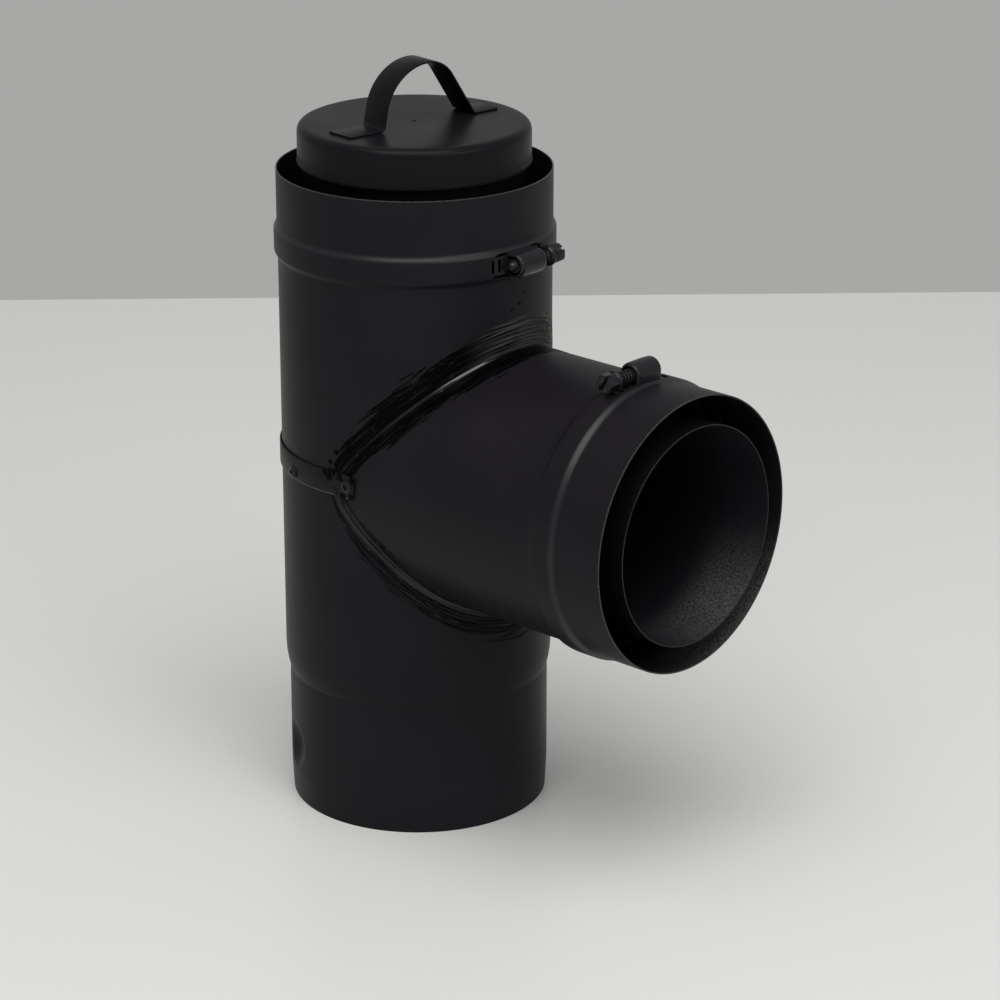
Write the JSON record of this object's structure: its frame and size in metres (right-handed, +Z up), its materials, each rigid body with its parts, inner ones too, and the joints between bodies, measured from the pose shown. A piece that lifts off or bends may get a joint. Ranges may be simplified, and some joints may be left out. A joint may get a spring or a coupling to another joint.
{
  "type": "pellet vent tee",
  "caption": "Black double-wall pellet vent tee: swaged male end, side branch, beaded mouths with worm-drive locking bands, riveted strap and a lift-out cap with a strip handle.",
  "frame": {"origin": "centre of the lower rim, on the main tube's axis", "axes": "+Z up the main tube towards the cap, +X along the branch towards its mouth"},
  "size_m": [0.2314, 0.1278, 0.3509],
  "materials": {
    "casing_paint": "matt stove paint",
    "flue_paint": "matt stove paint, fine grain",
    "cap_paint": "satin stove paint",
    "clip_paint": "painted steel strip",
    "screw_paint": "painted steel, worn on its edges",
    "rivet_paint": "painted blind rivet",
    "sealant": "glossy brushed sealant",
    "spacer_steel": "dull dark strip"
  },
  "bodies": {
    "tee_body": {"outer_main_tube": "casing_paint", "outer_branch_tube": "casing_paint", "inner_main_tube": "flue_paint", "inner_branch_tube": "flue_paint", "lower_spacers": "spacer_steel", "upper_spacers": "spacer_steel", "branch_spacers": "spacer_steel", "saddle_strap": "casing_paint", "strap_rivets": "rivet_paint", "seam_sealant": "sealant", "top_clamp_band": "clip_paint", "top_clamp_housing": "clip_paint", "branch_clamp_band": "clip_paint", "branch_clamp_housing": "clip_paint"},
    "cap": {"cap_shell": "cap_paint", "cap_handle": "cap_paint"},
    "top_screw": {"top_clamp_screw": "screw_paint"},
    "branch_screw": {"branch_clamp_screw": "screw_paint"}
  },
  "joints": [
    {"name": "cap_lift", "type": "slide", "parent": "tee_body", "child": "cap", "axis": [0, 0, 1], "range_m": [0, 0.06]},
    {"name": "top_clamp_screw_turn", "type": "hinge", "parent": "tee_body", "child": "top_screw", "pos_m": [0.0667, 0, 0.2699], "axis": [0, 1, 0], "continuous": true},
    {"name": "branch_clamp_screw_turn", "type": "hinge", "parent": "tee_body", "child": "branch_screw", "pos_m": [0.1327, 0, 0.2337], "axis": [0, -1, 0], "continuous": true}
  ]
}
